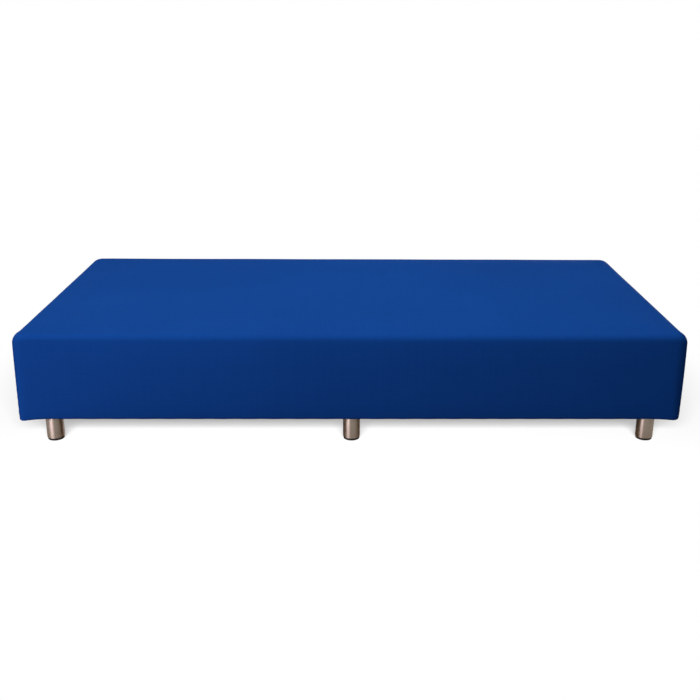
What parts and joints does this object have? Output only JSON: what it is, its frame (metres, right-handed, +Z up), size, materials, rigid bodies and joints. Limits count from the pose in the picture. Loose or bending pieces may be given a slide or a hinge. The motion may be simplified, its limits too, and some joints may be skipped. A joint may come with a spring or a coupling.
{
  "type": "platform sofa",
  "caption": "Low backless platform sofa: a firm rectangular seat in one tight fabric cover over foam and a timber frame, on round metal legs with screw-in levelling glides.",
  "frame": {"origin": "on the floor, under the middle of the seat", "axes": "+X along the seat's length to the right of someone facing its front, +Y from front to back, +Z up"},
  "size_m": [1.9, 0.9, 0.3502],
  "materials": {
    "cover_fabric": "plain tight weave in royal blue, matt with a faint sheen",
    "wadding_fibre": "white polyester fibre wadding",
    "foam": "open-cell cream polyurethane foam",
    "dust_cloth": "thin black spun-bonded cloth",
    "timber": "planed softwood, unfinished",
    "plywood": "sanded plywood, unfinished",
    "leg_metal": "brushed nickel on steel tube",
    "fixing_steel": "zinc-plated steel",
    "plug_plastic": "dark grey moulded plastic",
    "glide_plastic": "black moulded plastic"
  },
  "bodies": {
    "seat": {"seat_cover": "cover_fabric", "wadding": "wadding_fibre", "seat_foam": "foam", "front_side_foam": "foam", "back_side_foam": "foam", "left_side_foam": "foam", "right_side_foam": "foam", "dust_cover": "dust_cloth", "front_rail": "timber", "back_rail": "timber", "left_end_rail": "timber", "right_end_rail": "timber", "left_cross_rail": "timber", "centre_cross_rail": "timber", "right_cross_rail": "timber", "left_deck_panel": "plywood", "right_deck_panel": "plywood", "front_left_leg_block": "timber", "front_centre_leg_block": "timber", "front_right_leg_block": "timber", "back_left_leg_block": "timber", "back_centre_leg_block": "timber", "back_right_leg_block": "timber", "front_left_leg": "leg_metal", "front_centre_leg": "leg_metal", "front_right_leg": "leg_metal", "back_left_leg": "leg_metal", "back_centre_leg": "leg_metal", "back_right_leg": "leg_metal", "front_left_leg_stud": "fixing_steel", "front_centre_leg_stud": "fixing_steel", "front_right_leg_stud": "fixing_steel", "back_left_leg_stud": "fixing_steel", "back_centre_leg_stud": "fixing_steel", "back_right_leg_stud": "fixing_steel", "front_left_tee_nut": "fixing_steel", "front_centre_tee_nut": "fixing_steel", "front_right_tee_nut": "fixing_steel", "back_left_tee_nut": "fixing_steel", "back_centre_tee_nut": "fixing_steel", "back_right_tee_nut": "fixing_steel", "front_left_leg_plug": "plug_plastic", "front_centre_leg_plug": "plug_plastic", "front_right_leg_plug": "plug_plastic", "back_left_leg_plug": "plug_plastic", "back_centre_leg_plug": "plug_plastic", "back_right_leg_plug": "plug_plastic"},
    "front_left_glide": {"front_left_glide_pad": "glide_plastic"},
    "front_centre_glide": {"front_centre_glide_pad": "glide_plastic"},
    "front_right_glide": {"front_right_glide_pad": "glide_plastic"},
    "back_left_glide": {"back_left_glide_pad": "glide_plastic"},
    "back_centre_glide": {"back_centre_glide_pad": "glide_plastic"},
    "back_right_glide": {"back_right_glide_pad": "glide_plastic"},
    "front_left_screw": {"front_left_glide_stem": "fixing_steel"},
    "front_centre_screw": {"front_centre_glide_stem": "fixing_steel"},
    "front_right_screw": {"front_right_glide_stem": "fixing_steel"},
    "back_left_screw": {"back_left_glide_stem": "fixing_steel"},
    "back_centre_screw": {"back_centre_glide_stem": "fixing_steel"},
    "back_right_screw": {"back_right_glide_stem": "fixing_steel"}
  },
  "joints": [
    {"name": "front_left_glide_travel", "type": "slide", "parent": "seat", "child": "front_left_glide", "axis": [0, 0, -1], "range_m": [0, 0.009]},
    {"name": "front_left_screw_turn", "type": "hinge", "parent": "front_left_glide", "child": "front_left_screw", "pos_m": [-0.87, -0.37, 0], "axis": [0, 0, -1], "range_deg": [0, 2160]},
    {"name": "front_centre_glide_travel", "type": "slide", "parent": "seat", "child": "front_centre_glide", "axis": [0, 0, -1], "range_m": [0, 0.009]},
    {"name": "front_centre_screw_turn", "type": "hinge", "parent": "front_centre_glide", "child": "front_centre_screw", "pos_m": [0, -0.37, 0], "axis": [0, 0, -1], "range_deg": [0, 2160]},
    {"name": "front_right_glide_travel", "type": "slide", "parent": "seat", "child": "front_right_glide", "axis": [0, 0, -1], "range_m": [0, 0.009]},
    {"name": "front_right_screw_turn", "type": "hinge", "parent": "front_right_glide", "child": "front_right_screw", "pos_m": [0.87, -0.37, 0], "axis": [0, 0, -1], "range_deg": [0, 2160]},
    {"name": "back_left_glide_travel", "type": "slide", "parent": "seat", "child": "back_left_glide", "axis": [0, 0, -1], "range_m": [0, 0.009]},
    {"name": "back_left_screw_turn", "type": "hinge", "parent": "back_left_glide", "child": "back_left_screw", "pos_m": [-0.87, 0.37, 0], "axis": [0, 0, -1], "range_deg": [0, 2160]},
    {"name": "back_centre_glide_travel", "type": "slide", "parent": "seat", "child": "back_centre_glide", "axis": [0, 0, -1], "range_m": [0, 0.009]},
    {"name": "back_centre_screw_turn", "type": "hinge", "parent": "back_centre_glide", "child": "back_centre_screw", "pos_m": [0, 0.37, 0], "axis": [0, 0, -1], "range_deg": [0, 2160]},
    {"name": "back_right_glide_travel", "type": "slide", "parent": "seat", "child": "back_right_glide", "axis": [0, 0, -1], "range_m": [0, 0.009]},
    {"name": "back_right_screw_turn", "type": "hinge", "parent": "back_right_glide", "child": "back_right_screw", "pos_m": [0.87, 0.37, 0], "axis": [0, 0, -1], "range_deg": [0, 2160]}
  ],
  "couplings": [
    {"joint": "front_left_glide_travel", "follows": "front_left_screw_turn", "m_per_rad": 0.00023873},
    {"joint": "front_centre_glide_travel", "follows": "front_centre_screw_turn", "m_per_rad": 0.00023873},
    {"joint": "front_right_glide_travel", "follows": "front_right_screw_turn", "m_per_rad": 0.00023873},
    {"joint": "back_left_glide_travel", "follows": "back_left_screw_turn", "m_per_rad": 0.00023873},
    {"joint": "back_centre_glide_travel", "follows": "back_centre_screw_turn", "m_per_rad": 0.00023873},
    {"joint": "back_right_glide_travel", "follows": "back_right_screw_turn", "m_per_rad": 0.00023873}
  ]
}
